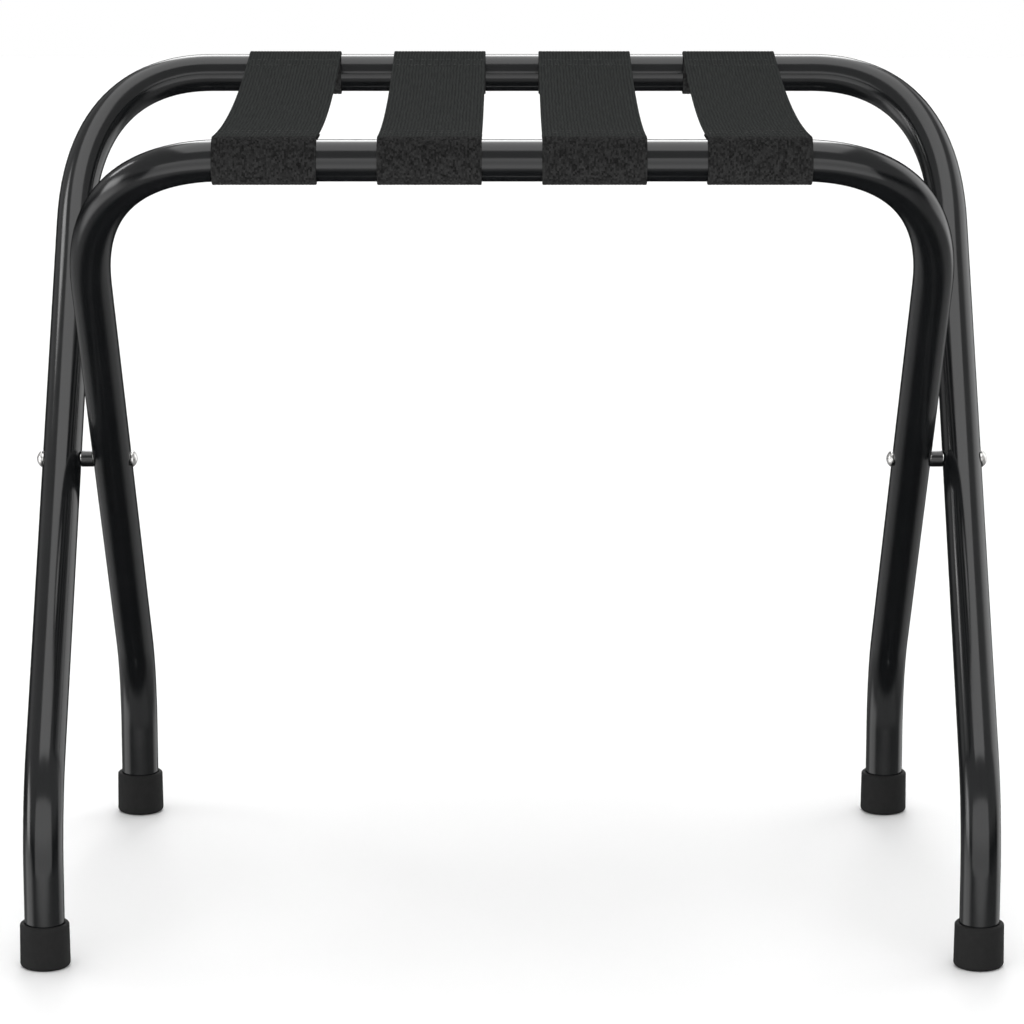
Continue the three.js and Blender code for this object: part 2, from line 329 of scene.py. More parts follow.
# Moulded rubber: carbon-black filled, so almost no colour. The spark-eroded mould leaves a grain of about
# 0.4 mm, and handling leaves paler, drier patches.
rubber, tree, shader = new_material(
    "moulded_black_rubber", Base_Color=colour("#171717"), Roughness=0.8, IOR=1.52, Specular_IOR_Level=0.3)
place = add(tree, "ShaderNodeTexCoord").outputs["Object"]
grain = add(tree, "ShaderNodeTexVoronoi", {"Vector": place, "Scale": 2500.0})
scuff = add(tree, "ShaderNodeTexNoise", {"Vector": place, "Scale": 160.0, "Detail": 5.0, "Roughness": 0.65})
tone = add(tree, "ShaderNodeMix", {
    0: scuff.outputs["Fac"], 6: colour("#121212"), 7: colour("#1a1a1a")}, data_type="RGBA")
dry = add(tree, "ShaderNodeMapRange", {
    "Value": scuff.outputs["Fac"], "From Min": 0.35, "From Max": 0.7, "To Min": 0.74, "To Max": 0.88})
relief = add(tree, "ShaderNodeBump", {
    "Height": grain.outputs["Distance"], "Strength": 0.4, "Distance": 0.00005})
feed(tree, tone.outputs[2], shader, "Base Color")
feed(tree, dry.outputs["Result"], shader, "Roughness")
feed(tree, relief.outputs["Normal"], shader, "Normal")

# Zinc-plated steel: a thin bright coat over a rolled sheet, with fine scratches from tumbling.
zinc, tree, shader = new_material(
    "zinc_plated_steel", Base_Color=colour("#b9bcbe"), Metallic=1.0, Roughness=0.35)
place = add(tree, "ShaderNodeTexCoord").outputs["Object"]
tumble = add(tree, "ShaderNodeTexNoise", {"Vector": place, "Scale": 900.0, "Detail": 4.0, "Roughness": 0.7})
worn = add(tree, "ShaderNodeMapRange", {
    "Value": tumble.outputs["Fac"], "From Min": 0.3, "From Max": 0.7, "To Min": 0.28, "To Max": 0.46})
marks = add(tree, "ShaderNodeBump", {"Height": tumble.outputs["Fac"], "Strength": 0.3, "Distance": 0.00002})
feed(tree, worn.outputs["Result"], shader, "Roughness")
feed(tree, marks.outputs["Normal"], shader, "Normal")

cap_profile = [(0, 0)]
for tread in TREAD_RADII:
    cap_profile += [
        (tread - TREAD_WIDTH / 2, 0),
        (tread - TREAD_WIDTH / 4, TREAD_DEPTH),
        (tread + TREAD_WIDTH / 4, TREAD_DEPTH),
        (tread + TREAD_WIDTH / 2, 0),
    ]
cap_profile += arc_points(
    (CAP_BASE - CAP_FOOT_ROUND, CAP_FOOT_ROUND), CAP_FOOT_ROUND, -math.pi / 2, 0, FOOT_ROUND_STEPS)
cap_profile += arc_points(
    (CAP_RIM - CAP_RIM_ROUND, CAP_HEIGHT - CAP_RIM_ROUND), CAP_RIM_ROUND, 0, math.pi / 2, RIM_ROUND_STEPS)
cap_profile += [(CAP_BORE, CAP_HEIGHT), (CAP_BORE, CAP_FLOOR), (0, CAP_FLOOR)]

for end, body in (("front", "outer_frame"), ("rear", "inner_frame")):
    for side in ("left", "right"):
        node = f"foot_cap_{end}_{side}"
        low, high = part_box(node)
        mesh = turned_mesh(f"rubber_foot_{end}_{side}", cap_profile, CAP_SIDES, rubber)
        mesh.transform(Matrix.Translation(((low.x + high.x) / 2, (low.y + high.y) / 2, low.z)))
        new_piece(f"rubber_foot_{end}_{side}", mesh, body, "foot_rubber", node)
        washer = frame["nodes"][f"foot_washer_{end}_{side}"]
        washer.data.materials.clear()
        washer.data.materials.append(zinc)


# ---- Pivots: dome rivets, spacers and press-on caps ---------------------------------------------------------
# A bright nickel-plated steel rivet goes from outside through both legs, with a moulded nylon spacer between
# them, and a domed cap is pressed on its end inside the rack.
RIVET_SIDES = 64
SHANK_RADIUS = 0.003
SHANK_CHAMFER = 0.0003
HEAD_RADIUS = 0.0047
HEAD_HEIGHT = 0.003
HEAD_EDGE = 0.00035
HEAD_CHAMFER = 0.0001
DOME_STEPS = 12
SHANK_INTO_CAP = 0.0015
SEAT = 0.0003
SPACER_RADIUS = 0.0046
SPACER_CHAMFER = 0.0002
SPACER_MIDDLE = 0.004
SPACER_PLAY = 0.00005

# Nickel plate over turned steel: bright, slightly warm, with a haze and marks about 0.7 mm apart from barrel
# polishing.
nickel, tree, shader = new_material(
    "nickel_plated_steel", Base_Color=colour("#ebeae8"), Metallic=1.0, Roughness=0.32)
place = add(tree, "ShaderNodeTexCoord").outputs["Object"]
polish = add(tree, "ShaderNodeTexNoise", {"Vector": place, "Scale": 1400.0, "Detail": 3.0, "Roughness": 0.6})
haze = add(tree, "ShaderNodeMapRange", {
    "Value": polish.outputs["Fac"], "From Min": 0.3, "From Max": 0.7, "To Min": 0.26, "To Max": 0.4})
marks = add(tree, "ShaderNodeBump", {"Height": polish.outputs["Fac"], "Strength": 0.2, "Distance": 0.00001})
feed(tree, haze.outputs["Result"], shader, "Roughness")
feed(tree, marks.outputs["Normal"], shader, "Normal")

# Nylon, moulded in black: a smooth skin with a soft shine and faint flow marks.
nylon, tree, shader = new_material(
    "moulded_black_nylon", Base_Color=colour("#111212"), Roughness=0.2, IOR=1.53)
place = add(tree, "ShaderNodeTexCoord").outputs["Object"]
flow = add(tree, "ShaderNodeTexNoise", {"Vector": place, "Scale": 420.0, "Detail": 2.0, "Roughness": 0.5})
shine = add(tree, "ShaderNodeMapRange", {
    "Value": flow.outputs["Fac"], "From Min": 0.3, "From Max": 0.7, "To Min": 0.15, "To Max": 0.25})
skin = add(tree, "ShaderNodeBump", {"Height": flow.outputs["Fac"], "Strength": 0.3, "Distance": 0.00002})
feed(tree, shine.outputs["Result"], shader, "Roughness")
feed(tree, skin.outputs["Normal"], shader, "Normal")


def dome_points(base):
    """The profile of a domed head that stands on the height base."""
    rise = HEAD_HEIGHT - HEAD_EDGE
    ball = (HEAD_RADIUS ** 2 + rise ** 2) / (2 * rise)
    start = math.asin((ball - rise) / ball)
    points = arc_points((0, base + HEAD_HEIGHT - ball), ball, start, math.pi / 2, DOME_STEPS)
    rim = [(HEAD_RADIUS - HEAD_CHAMFER, base), (HEAD_RADIUS, base + HEAD_CHAMFER)]
    return rim + points[:-1] + [(0, points[-1][1])]


outer_x = (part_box("outer_frame_tube")[1].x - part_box("outer_frame_tube")[0].x) / 2
inner_x = (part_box("inner_frame_tube")[1].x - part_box("inner_frame_tube")[0].x) / 2
head_seat = outer_x + SEAT
cap_seat = inner_x - TUBE_DIAMETER - SEAT
shank_end = cap_seat - SHANK_INTO_CAP
cap_depth = SHANK_INTO_CAP + SEAT
spacer_start = inner_x + SEAT
spacer_length = outer_x - TUBE_DIAMETER - SPACER_PLAY - spacer_start
rivet_length = head_seat - shank_end
bore = RIVET_HOLE / 2

rivet_profile = [
    (0, 0),
    (SHANK_RADIUS - SHANK_CHAMFER, 0),
    (SHANK_RADIUS, SHANK_CHAMFER),
    (SHANK_RADIUS, rivet_length),
    *dome_points(rivet_length),
]
cap_dome_profile = [(0, cap_depth), (bore, cap_depth), (bore, 0)] + dome_points(0)
spacer_profile = [
    (bore, 0),
    (SPACER_MIDDLE, 0),
    (SPACER_RADIUS - SPACER_CHAMFER, 0),
    (SPACER_RADIUS, SPACER_CHAMFER),
    (SPACER_RADIUS, spacer_length - SPACER_CHAMFER),
    (SPACER_RADIUS - SPACER_CHAMFER, spacer_length),
    (SPACER_MIDDLE, spacer_length),
    (bore, spacer_length),
    (bore, 0),
]


def hollow_spacer_end(mesh, side):
    """Draws the spacer's inner end out so that it lies round the slanting inner leg, which it stays with."""
    leg_way = Vector((back_bar.y - front_foot.y, back_bar.z - BEND_HEIGHT)).normalized()
    seat_radius = TUBE_DIAMETER / 2 + SEAT
    middle = spacer_start + spacer_length / 2
    for vertex in mesh.vertices:
        if vertex.co.x < middle:
            off_axis = vertex.co.y * leg_way.y + vertex.co.z * leg_way.x * side
            vertex.co.x -= seat_radius - math.sqrt(seat_radius ** 2 - off_axis ** 2)


out = Matrix.Rotation(math.pi / 2, 4, "Y")
back = Matrix.Rotation(-math.pi / 2, 4, "Y")
turned_pieces = (
    ("dome_rivet", "pivot_rivet", rivet_profile, nickel, "rivet_steel", shank_end, out),
    ("press_on_cap", "rivet_cap", cap_dome_profile, nickel, "rivet_steel", cap_seat, back),
    ("nylon_spacer", "pivot_spacer", spacer_profile, nylon, "spacer_nylon", spacer_start, out),
)
for side_name, side in (("left", -1), ("right", 1)):
    half_turn = Matrix.Rotation(0 if side == 1 else math.pi, 4, "Z")
    for piece, node, profile, material, slot, start, lay in turned_pieces:
        name = f"{piece}_{side_name}"
        mesh = turned_mesh(name, profile, RIVET_SIDES, material)
        mesh.transform(Matrix.Translation((start, 0, 0)) @ lay)
        if node == "pivot_spacer":
            hollow_spacer_end(mesh, side)
        mesh.transform(Matrix.Translation((0, pivot_point.y, pivot_point.z)) @ half_turn)
        new_piece(name, mesh, "inner_frame", slot, f"{node}_{side_name}")


# ---- Straps: woven webbing, looped round each bar and sewn under itself -------------------------------------
# Four straps of 56 mm woven polypropylene webbing hold the two bars together. Each end goes over its bar,
# comes back under it and is sewn to the strap's underside. The straps sag a little in the middle.
# Each strap is two halves that meet at mid-span, because each loop turns with its own bar.
STRAP_COUNT = 4
STRAP_WIDTH = 0.0556
STRAP_THICKNESS = 0.0015
STRAP_SAG = 0.0082
RIB_COUNT = 29
RIB_RELIEF = 0.00016
RIB_POINTS = 4
EDGE_POINTS = 6
LOOP_RADIUS = 0.0123
LOOP_LEAVES = math.radians(-20)
TAIL_START = 0.022
TAIL_END = 0.047
TAIL_UNDER = 0.00162
TAIL_EASE = 0.0065
RUN_STEPS = 26
LOOP_STEPS = 40
EASE_STEPS = 14
TAIL_STEPS = 8
LOOP_LOOK_LEAD = 0.002
LOOP_LOOK_FADE = 0.006

slope = math.atan(2 * STRAP_SAG / back_bar.y)
bar_top_y = LOOP_RADIUS * math.sin(slope)
bar_top_z = LOOP_RADIUS * math.cos(slope)
span_z = bar_top_z - math.tan(slope) * (back_bar.y - bar_top_y) / 2
pull_y = back_bar.y - bar_top_y - (bar_top_z - span_z) / math.tan(slope)


def run_point(t):
    """A point of the run's middle layer, t = 0 at mid-span and 1 on top of the bar, as (distance in from the
    bar's centre, height over it)."""
    y = 2 * (1 - t) * t * pull_y + t * t * (back_bar.y - bar_top_y)
    z = (1 - t) ** 2 * span_z + 2 * (1 - t) * t * span_z + t * t * bar_top_z
    return back_bar.y - y, z


def under_run(distance):
    """The tail's middle layer under the run, at a distance in from the bar's centre."""
    low, high = 0.0, 1.0
    for _ in range(40):
        mid = (low + high) / 2
        if run_point(mid)[0] > distance:
            low = mid
        else:
            high = mid
    return Vector((distance, run_point(low)[1] - TAIL_UNDER))


strip_path = [Vector(run_point(k / RUN_STEPS)) for k in range(RUN_STEPS + 1)]
loop_start = math.pi / 2 - slope
loop_end = 2 * math.pi + LOOP_LEAVES
# From here the path goes over the bar, away from the middle, so the loop is drawn on the far side.
for k in range(1, LOOP_STEPS + 1):
    turn = loop_start + (loop_end - loop_start) * k / LOOP_STEPS
    strip_path.append(Vector((LOOP_RADIUS * math.cos(turn), LOOP_RADIUS * math.sin(turn))))
leave = strip_path[-1]
leave_way = Vector((-math.sin(loop_end), math.cos(loop_end)))
tail_first = under_run(TAIL_START)
tail_way = (under_run(TAIL_START + 0.001) - tail_first).normalized()
for k in range(1, EASE_STEPS + 1):
    t = k / EASE_STEPS
    strip_path.append(
        leave * (1 - t) ** 3
        + (leave + leave_way * TAIL_EASE) * 3 * (1 - t) ** 2 * t
        + (tail_first - tail_way * TAIL_EASE) * 3 * (1 - t) * t * t
        + tail_first * t ** 3)
for k in range(1, TAIL_STEPS + 1):
    strip_path.append(under_run(TAIL_START + (TAIL_END - TAIL_START) * k / TAIL_STEPS))

path = np.array([tuple(p) for p in strip_path])
steps = np.linalg.norm(np.diff(path, axis=0), axis=1)
travel = np.concatenate([[0], np.cumsum(steps)])
way = np.gradient(path, travel, axis=0)
way[0] = (-1, 0)
way /= np.linalg.norm(way, axis=1)[:, None]
# In these coordinates the distance in from the bar falls along the run, and the face that is up has the
# normal (way z, -way distance).
facing = np.stack([way[:, 1], -way[:, 0]], axis=1)
run_length = travel[RUN_STEPS]
# The look changes from run to loop over a few millimetres at the bar's top: 0 on the run, 1 on the loop.
on_loop = np.clip((travel - run_length + LOOP_LOOK_LEAD) / LOOP_LOOK_FADE, 0, 1)

flat_half = STRAP_WIDTH / 2 - STRAP_THICKNESS / 2
rib_x = np.linspace(-flat_half, flat_half, RIB_COUNT * RIB_POINTS + 1)
rib_phase = (np.arange(rib_x.size) % RIB_POINTS) / RIB_POINTS
rib_h = STRAP_THICKNESS / 2 - RIB_RELIEF * (1 - np.sin(np.pi * rib_phase))
rib_h[0] = rib_h[-1] = STRAP_THICKNESS / 2
round_turn = np.linspace(np.pi / 2, -np.pi / 2, EDGE_POINTS + 2)[1:-1]
edge_x = flat_half + STRAP_THICKNESS / 2 * np.cos(round_turn)
edge_h = STRAP_THICKNESS / 2 * np.sin(round_turn)
section_x = np.concatenate([rib_x, edge_x, rib_x[::-1], -edge_x])
section_h = np.concatenate([rib_h, edge_h, -rib_h[::-1], -edge_h])


def strap_half_mesh(name, x, bar):
    """One half of a strap: a strip of webbing from mid-span over the bar and back under itself."""
    side = 1 if bar.y > 0 else -1
    rows, columns = len(path), len(section_x)
    place = np.zeros((rows, columns, 3))
    place[:, :, 0] = x + section_x
    reach = path[:, 0][:, None] + facing[:, 0][:, None] * section_h
    place[:, :, 1] = bar.y - side * reach
    place[:, :, 2] = bar.z + path[:, 1][:, None] + facing[:, 1][:, None] * section_h
    corners = []
    for row in range(rows - 1):
        here, there = row * columns, (row + 1) * columns
        for k in range(columns):
            n = (k + 1) % columns
            corners.append((here + k, here + n, there + n, there + k))
    flat = rib_x.size
    for start in (0, (rows - 1) * columns):
        for k in range(flat - 1):
            low = start + 2 * flat + EDGE_POINTS - 1 - k
            corners.append((start + k, start + k + 1, low - 1, low))
        right = [start + flat - 1 + k for k in range(EDGE_POINTS + 2)]
        left = [start + 2 * flat + EDGE_POINTS - 1 + k for k in range(EDGE_POINTS + 1)] + [start]
        corners += [tuple(right), tuple(left)]
    mesh = bpy.data.meshes.new(name)
    mesh.from_pydata(place.reshape(-1, 3).tolist(), [], corners)
    mesh.update()
    thread = mesh.attributes.new("webbing_mm", "FLOAT_VECTOR", "POINT")
    lengths = np.zeros((rows, columns, 3))
    lengths[:, :, 0] = section_x * 1000 + x * 1000
    lengths[:, :, 1] = side * travel[:, None] * 1000
    lengths[:, :, 2] = on_loop[:, None]
    thread.data.foreach_set("vector", lengths.astype(np.float32).ravel())
    return finish_faces(mesh, sharp_degrees=50)


# Woven polypropylene: dull charcoal yarn that scatters light, in lengthwise ribs 1.9 mm apart, each crossed
# by picks 1.3 mm apart. Single yarns are a little lighter or darker than their neighbours. The run is pulled
# flat and looks even. Bent round a bar, the weave opens and its yarns look speckled.
RIB_PITCH_MM = 2 * flat_half * 1000 / RIB_COUNT
PICK_PITCH_MM = 1.3
WANDER_MM = 2.4  # how far a streak drifts across the ribs
webbing, tree, shader = new_material(
    "woven_charcoal_webbing", Base_Color=colour("#242625"), Roughness=0.95, Specular_IOR_Level=0.02)
yarn = add(tree, "ShaderNodeAttribute", attribute_name="webbing_mm")
apart = add(tree, "ShaderNodeSeparateXYZ", {0: yarn.outputs["Vector"]})
wander = add(tree, "ShaderNodeTexNoise", {"Vector": yarn.outputs["Vector"], "Scale": 0.09, "Detail": 2.0})
shifted = add(tree, "ShaderNodeMath", {
    0: wander.outputs["Fac"], 1: WANDER_MM, 2: apart.outputs["X"]}, operation="MULTIPLY_ADD")
across = add(tree, "ShaderNodeMath", {0: apart.outputs["X"], 1: RIB_PITCH_MM}, operation="DIVIDE")
yarn_across = add(tree, "ShaderNodeMath", {0: shifted.outputs[0], 1: RIB_PITCH_MM / 2}, operation="DIVIDE")
rib = add(tree, "ShaderNodeMath", {0: yarn_across.outputs[0]}, operation="FLOOR")
stagger = add(tree, "ShaderNodeTexWhiteNoise", {"W": rib.outputs[0]}, noise_dimensions="1D")
along = add(tree, "ShaderNodeMath", {
    0: apart.outputs["Y"], 1: 1 / PICK_PITCH_MM, 2: stagger.outputs["Value"]}, operation="MULTIPLY_ADD")
pick = add(tree, "ShaderNodeMath", {0: along.outputs[0]}, operation="FLOOR")
pick_turn = add(tree, "ShaderNodeMath", {0: along.outputs[0], 1: math.pi}, operation="MULTIPLY")
pick_wave = add(tree, "ShaderNodeMath", {0: pick_turn.outputs[0]}, operation="SINE")
pick_rise = add(tree, "ShaderNodeMath", {0: pick_wave.outputs[0]}, operation="ABSOLUTE")
rib_turn = add(tree, "ShaderNodeMath", {0: across.outputs[0], 1: math.pi}, operation="MULTIPLY")
rib_wave = add(tree, "ShaderNodeMath", {0: rib_turn.outputs[0]}, operation="SINE")
rib_rise = add(tree, "ShaderNodeMath", {0: rib_wave.outputs[0]}, operation="ABSOLUTE")
knuckle = add(tree, "ShaderNodeMath", {0: pick_rise.outputs[0], 1: rib_rise.outputs[0]}, operation="MULTIPLY")
cell = add(tree, "ShaderNodeCombineXYZ", {"X": rib.outputs[0], "Y": pick.outputs[0]})
chance = add(tree, "ShaderNodeTexWhiteNoise", {"Vector": cell.outputs[0]}, noise_dimensions="2D")
# On the run, long streaks follow the yarns. On the loop, each knuckle has its own tone, with fuzz and patches.
drawn_out = add(tree, "ShaderNodeVectorMath", {
    0: yarn.outputs["Vector"], 1: (0.8, 0.05, 0.0)}, operation="MULTIPLY")
streak = add(tree, "ShaderNodeTexNoise", {
    "Vector": drawn_out.outputs[0], "Scale": 1.0, "Detail": 3.0, "Roughness": 0.6})
fuzz = add(tree, "ShaderNodeTexNoise", {
    "Vector": yarn.outputs["Vector"], "Scale": 1.7, "Detail": 4.0, "Roughness": 0.75})
patchy = add(tree, "ShaderNodeTexNoise", {
    "Vector": yarn.outputs["Vector"], "Scale": 0.33, "Detail": 2.0, "Roughness": 0.6})
yarn_turn = add(tree, "ShaderNodeMath", {0: yarn_across.outputs[0], 1: math.pi / 2}, operation="MULTIPLY")
yarn_wave = add(tree, "ShaderNodeMath", {0: yarn_turn.outputs[0]}, operation="SINE")
yarn_rise = add(tree, "ShaderNodeMath", {0: yarn_wave.outputs[0]}, operation="ABSOLUTE")
run_level = add(tree, "ShaderNodeMath", {
    0: yarn_rise.outputs[0], 1: 0.5, 2: streak.outputs["Fac"]}, operation="MULTIPLY_ADD")
run_range = add(tree, "ShaderNodeMapRange", {
    "Value": run_level.outputs[0], "From Min": 0.45, "From Max": 1.2, "To Min": 0.0, "To Max": 1.0})
loop_level = add(tree, "ShaderNodeMath", {
    0: chance.outputs["Value"], 1: 0.8, 2: fuzz.outputs["Fac"]}, operation="MULTIPLY_ADD")
loop_more = add(tree, "ShaderNodeMath", {
    0: patchy.outputs["Fac"], 1: 0.7, 2: loop_level.outputs[0]}, operation="MULTIPLY_ADD")
loop_range = add(tree, "ShaderNodeMapRange", {
    "Value": loop_more.outputs[0], "From Min": 0.75, "From Max": 1.8, "To Min": 0.0, "To Max": 1.0})
run_tone = add(tree, "ShaderNodeMix", {
    0: run_range.outputs["Result"], 6: colour("#1d1e1e"), 7: colour("#2f3130")}, data_type="RGBA")
loop_tone = add(tree, "ShaderNodeMix", {
    0: loop_range.outputs["Result"], 6: colour("#151515"), 7: colour("#333333")}, data_type="RGBA")
tone = add(tree, "ShaderNodeMix", {
    0: apart.outputs["Z"], 6: run_tone.outputs[2], 7: loop_tone.outputs[2]}, data_type="RGBA")
weave_height = add(tree, "ShaderNodeMath", {
    0: fuzz.outputs["Fac"], 1: 0.8, 2: knuckle.outputs[0]}, operation="MULTIPLY_ADD")
weave = add(tree, "ShaderNodeBump", {"Height": weave_height.outputs[0], "Strength": 0.6, "Distance": 0.0002})
feed(tree, tone.outputs[2], shader, "Base Color")
feed(tree, weave.outputs["Normal"], shader, "Normal")

for number in range(1, STRAP_COUNT + 1):
    for end, bar, body, bar_tube in (
            ("front", front_bar, "front_straps", inner_tube), ("back", back_bar, "back_straps", outer_tube)):
        node = f"strap_{number}_{end}_half"
        low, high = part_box(node)
        name = f"webbing_strap_{number}_{end}"
        mesh = strap_half_mesh(name, (low.x + high.x) / 2, bar)
        mesh.materials.append(webbing)
        half = new_piece(name, mesh, body, "strap_webbing", node)


# ---- Sewing: two rows of lockstitch across each strap's end ------------------------------------------------
# Black polyester thread goes through the run and the tail under it, with a stitch on both faces every 3.6 mm.
# It closes each loop round its bar.
SEAM_DISTANCES = (0.0265, 0.0425)
SEAM_FROM_EDGE = 0.003
STITCH_PITCH = 0.0036
STITCH_LENGTH = 0.003
THREAD = 0.0005
STITCH_SKEW = math.radians(6)
LEAST_SKEW_SHARE = 0.4
SEAM_SEED = 11

# Twisted polyester: two plies give the thread a fine slanting ridge and a soft shine.
thread_finish, tree, shader = new_material(
    "black_polyester_thread", Base_Color=colour("#1a1b1b"), Roughness=0.55, Specular_IOR_Level=0.35)
place = add(tree, "ShaderNodeTexCoord").outputs["Object"]
ply = add(tree, "ShaderNodeTexWave", {
    "Vector": place, "Scale": 900.0, "Distortion": 1.5}, bands_direction="DIAGONAL")
ply_tone = add(tree, "ShaderNodeMix", {
    0: ply.outputs["Fac"], 6: colour("#131414"), 7: colour("#222323")}, data_type="RGBA")
ply_relief = add(tree, "ShaderNodeBump", {"Height": ply.outputs["Fac"], "Strength": 0.5, "Distance": 0.00005})
feed(tree, ply_tone.outputs[2], shader, "Base Color")
feed(tree, ply_relief.outputs["Normal"], shader, "Normal")

seam_tree = bpy.data.node_groups.new("lockstitch_rows", "GeometryNodeTree")
seam_face = seam_tree.interface
seam_face.new_socket("Geometry", in_out="INPUT", socket_type="NodeSocketGeometry")
seam_inputs = {
    "Pitch": ("NodeSocketFloat", STITCH_PITCH),
    "Stitch length": ("NodeSocketFloat", STITCH_LENGTH),
    "Thread": ("NodeSocketFloat", THREAD),
    "Skew": ("NodeSocketFloat", STITCH_SKEW),
    "Seed": ("NodeSocketInt", SEAM_SEED),
    "Finish": ("NodeSocketMaterial", thread_finish),
}
seam_sockets = {
    key: seam_face.new_socket(key, in_out="INPUT", socket_type=kind)
    for key, (kind, _) in seam_inputs.items()
}
seam_face.new_socket("Geometry", in_out="OUTPUT", socket_type="NodeSocketGeometry")
given = add(seam_tree, "NodeGroupInput").outputs
rows = add(seam_tree, "GeometryNodeMeshToCurve", {"Mesh": given["Geometry"]})
dots = add(seam_tree, "GeometryNodeResampleCurve", {
    "Curve": rows.outputs["Curve"], "Length": given["Pitch"]}, mode="LENGTH")
bead = add(seam_tree, "GeometryNodeMeshUVSphere", {"Segments": 8, "Rings": 6, "Radius": 0.5})
stitch_size = add(seam_tree, "ShaderNodeCombineXYZ", {
    "X": given["Stitch length"], "Y": given["Thread"], "Z": given["Thread"]})
stitch = add(seam_tree, "GeometryNodeTransform", {
    "Geometry": bead.outputs["Mesh"], "Scale": stitch_size.outputs[0]})
less = add(seam_tree, "ShaderNodeMath", {0: given["Skew"], 1: LEAST_SKEW_SHARE}, operation="MULTIPLY")
skews = add(seam_tree, "FunctionNodeRandomValue", {
    2: less.outputs[0], 3: given["Skew"], "Seed": given["Seed"]}, data_type="FLOAT")
turns = add(seam_tree, "ShaderNodeCombineXYZ", {"Z": skews.outputs[1]})
sewn = add(seam_tree, "GeometryNodeInstanceOnPoints", {
    "Points": dots.outputs["Curve"], "Instance": stitch.outputs["Geometry"], "Rotation": turns.outputs[0]})
real = add(seam_tree, "GeometryNodeRealizeInstances", {"Geometry": sewn.outputs["Instances"]})
dyed = add(seam_tree, "GeometryNodeSetMaterial", {
    "Geometry": real.outputs["Geometry"], "Material": given["Finish"]})
add(seam_tree, "NodeGroupOutput", {"Geometry": dyed.outputs["Geometry"]})

for end, bar, body in (("front", front_bar, "front_straps"), ("back", back_bar, "back_straps")):
    name = f"lockstitch_{end}"
    ends = []
    for number in range(1, STRAP_COUNT + 1):
        low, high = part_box(f"strap_{number}_{end}_half")
        for distance in SEAM_DISTANCES:
            tail_layer = under_run(distance)
            run_top = tail_layer.y + TAIL_UNDER + STRAP_THICKNESS / 2
            tail_bottom = tail_layer.y - STRAP_THICKNESS / 2
            y = bar.y - math.copysign(distance, bar.y)
            for height in (run_top, tail_bottom):
                ends.append((low.x + SEAM_FROM_EDGE, y, bar.z + height))
                ends.append((high.x - SEAM_FROM_EDGE, y, bar.z + height))
    seam_lines = bpy.data.meshes.new(name + "_lines")
    seam_lines.from_pydata(ends, [(k, k + 1) for k in range(0, len(ends), 2)], [])
    host = bpy.data.objects.new(name + "_lines", seam_lines)
    bpy.context.scene.collection.objects.link(host)
    sewing = host.modifiers.new("sewing", "NODES")
    sewing.node_group = seam_tree
    for key, (_, value) in seam_inputs.items():
        sewing[seam_sockets[key].identifier] = value
    mesh = plain_mesh(host, name)
    bpy.data.objects.remove(host)
    mesh.shade_smooth()
    new_piece(name, mesh, body, "strap_webbing")


# ---- Floor, light and camera --------------------------------------------------------------------------------
# A pale floor under a white studio. The far lights are drawn on the world by direction, as wide soft boxes
# and low glows. Two lights stand near: one low before the rack, and a small one high at its left.
FLOOR_REACH = 4
floor_mesh = bpy.data.meshes.new("studio_floor")
floor_corners = [(FLOOR_REACH * x, FLOOR_REACH * y, 0) for x, y in ((-1, -1), (1, -1), (1, 1), (-1, 1))]
floor_mesh.from_pydata(floor_corners, [], [(0, 1, 2, 3)])
floor = bpy.data.objects.new("studio_floor", floor_mesh)
bpy.context.scene.collection.objects.link(floor)
floor.visible_glossy = False
floor.visible_shadow = False
paper, tree, shader = new_material(
    "pale_paper_floor", Base_Color=colour("#f2f2f2"), Roughness=1.0, Specular_IOR_Level=0.0)
floor_mesh.materials.append(paper)

AMBIENT = 0.45
world = bpy.data.worlds.new("studio")
bpy.context.scene.world = world
world.use_nodes = True
sky = world.node_tree
sky.nodes.clear()
way_out = add(sky, "ShaderNodeTexCoord").outputs["Generated"]
axes = add(sky, "ShaderNodeSeparateXYZ", {0: way_out})
toward = add(sky, "ShaderNodeMath", {0: axes.outputs["Y"], 1: -1.0}, operation="MULTIPLY")
turn_rad = add(sky, "ShaderNodeMath", {0: axes.outputs["X"], 1: toward.outputs[0]}, operation="ARCTAN2")
turn_deg = add(sky, "ShaderNodeMath", {0: turn_rad.outputs[0]}, operation="DEGREES")
turn_size = add(sky, "ShaderNodeMath", {0: turn_deg.outputs[0]}, operation="ABSOLUTE")
rise_rad = add(sky, "ShaderNodeMath", {0: axes.outputs["Z"]}, operation="ARCSINE")
rise_deg = add(sky, "ShaderNodeMath", {0: rise_rad.outputs[0]}, operation="DEGREES")
above = add(sky, "ShaderNodeMath", {0: axes.outputs["Z"], 1: 0.05}, operation="MAXIMUM")
over_x = add(sky, "ShaderNodeMath", {0: axes.outputs["X"], 1: above.outputs[0]}, operation="DIVIDE")
over_y = add(sky, "ShaderNodeMath", {0: axes.outputs["Y"], 1: above.outputs[0]}, operation="DIVIDE")
over_size = add(sky, "ShaderNodeMath", {0: over_x.outputs[0]}, operation="ABSOLUTE")


def soft_box(strength, *bands):
    """A light that fills a band of each given measure, with soft edges: (socket, from, to, edge)."""
    total = None
    for socket, low, high, edge in bands:
        for start, end in ((low - edge, low + edge), (high + edge, high - edge)):
            ramp = add(sky, "ShaderNodeMapRange", {
                "Value": socket, "From Min": start, "From Max": end}, interpolation_type="SMOOTHSTEP")
            total = add(sky, "ShaderNodeMath", {
                0: ramp.outputs["Result"] if total is None else total.outputs[0],
                1: strength if total is None else ramp.outputs["Result"]}, operation="MULTIPLY")
    return total.outputs[0]


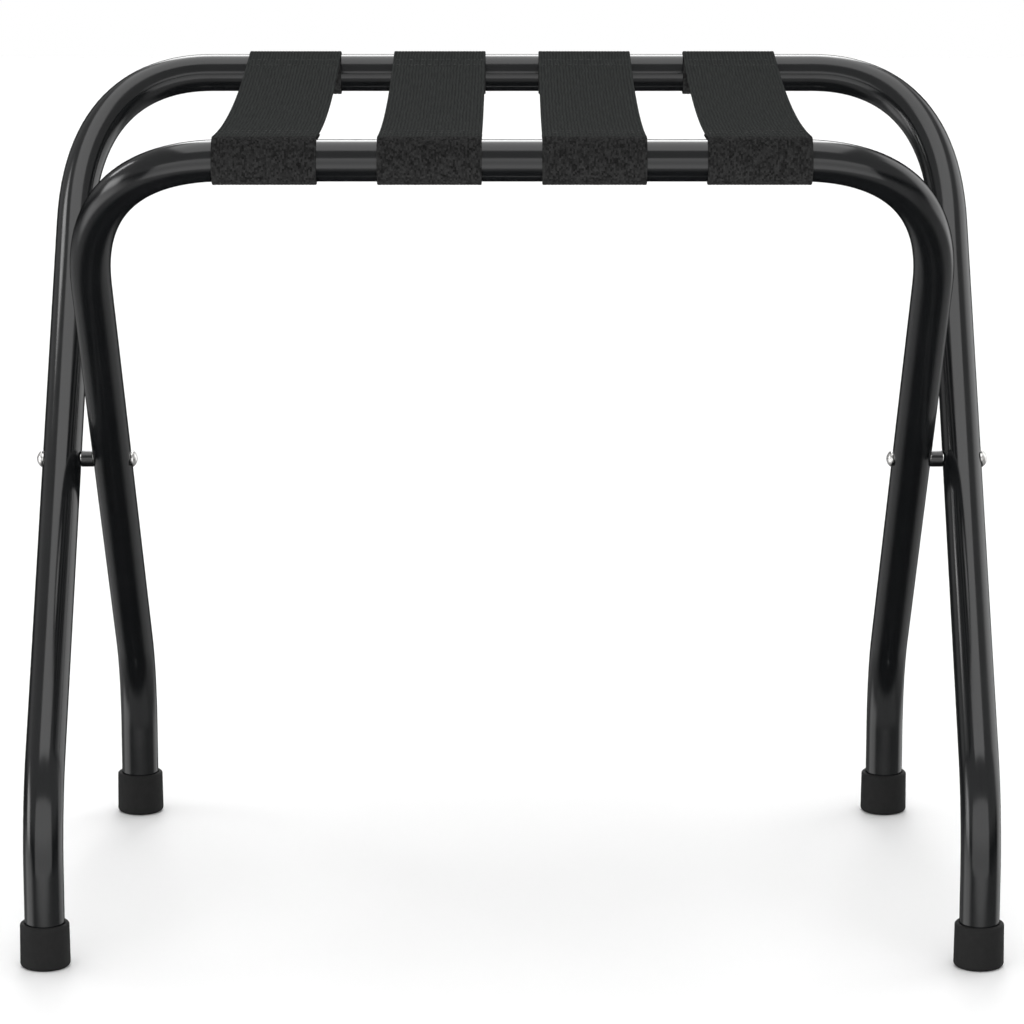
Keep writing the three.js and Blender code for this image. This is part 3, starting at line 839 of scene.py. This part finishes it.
# Each light is a strength and its bands. Turn is the angle round from the front, to the right. Size is the
# same without its sign, and rise is the angle over the horizon, all in degrees. Lean is the turn moved on by
# 0.4 of the rise, so that the left strip stands at a slant. The overhead box is measured across and along a
# level plane, in heights of that plane.
turn, size, rise = turn_deg.outputs[0], turn_size.outputs[0], rise_deg.outputs[0]
lean = add(sky, "ShaderNodeMath", {0: rise, 1: 0.4, 2: turn}, operation="MULTIPLY_ADD").outputs[0]
ambient_round = soft_box(AMBIENT, (rise, 4, 200, 8), (size, -10, 144, 20))
ambient_behind = soft_box(AMBIENT, (rise, 24, 200, 3), (size, 144, 200, 20))
overhead_box = soft_box(1.8, (over_size.outputs[0], -1, 0.5, 0.04), (over_y.outputs[0], -0.51, 0.84, 0.04))
left_strip = soft_box(4.2, (lean, -99, -76, 4), (rise, -4, 14, 6))
left_glow = soft_box(1.4, (turn, -112, -64, 12), (rise, -30, -6, 6))
back_box = soft_box(6.0, (size, 166, 200, 4), (rise, 22, 50, 2))
back_right_box = soft_box(1.2, (turn, 102, 146, 8), (rise, -18, 40, 6))
low_side_glow = soft_box(0.3, (size, 70, 158, 8), (rise, -50, -12, 10))
low_front_glow = soft_box(0.5, (size, -10, 70, 10), (rise, -50, -16, 8))
lights = [
    ambient_round, ambient_behind, overhead_box, left_strip, left_glow, back_box, back_right_box,
    low_side_glow, low_front_glow,
]
total = lights[0]
for light in lights[1:]:
    total = add(sky, "ShaderNodeMath", {0: total, 1: light}, operation="ADD").outputs[0]
studio = add(sky, "ShaderNodeBackground", {"Color": colour("#ffffff"), "Strength": total})
white = add(sky, "ShaderNodeBackground", {"Color": colour("#ffffff"), "Strength": 1.0})
seen = add(sky, "ShaderNodeLightPath").outputs["Is Camera Ray"]
mixed = add(sky, "ShaderNodeMixShader", {0: seen, 1: studio.outputs[0], 2: white.outputs[0]})
add(sky, "ShaderNodeOutputWorld", {"Surface": mixed.outputs[0]})
bpy.context.scene.view_settings.view_transform = "Standard"


def near_box(name, width, height, radiance, place, heading):
    """A real soft box of the given size and radiance, upright, which faces +y turned by its heading."""
    light = bpy.data.lights.new(name, "AREA")
    light.shape = "RECTANGLE"
    light.size, light.size_y = width, height
    light.energy = radiance * math.pi * width * height
    box = bpy.data.objects.new(name, light)
    box.location = place
    box.rotation_euler = (math.radians(90), 0.0, math.radians(heading))
    box.visible_camera = False
    bpy.context.scene.collection.objects.link(box)


near_box("front_soft_box", 2.4, 1.12, 1.3, (0.0, -1.19, 0.26), 0.0)
near_box("left_soft_box", 0.16, 0.26, 4.8, (-0.8, 0.2, 0.82), -90.0)

CAMERA_LENS_MM = 164.32
CAMERA_DOWN_DEG = 12.52
camera_data = bpy.data.cameras.new("camera")
camera_data.lens = CAMERA_LENS_MM
camera_data.sensor_width = 36.0
camera = bpy.data.objects.new("camera", camera_data)
camera.location = (0.0, -2.6493, 0.8129)
camera.rotation_euler = (math.radians(90 - CAMERA_DOWN_DEG), 0.0, 0.0)
bpy.context.scene.collection.objects.link(camera)
bpy.context.scene.camera = camera
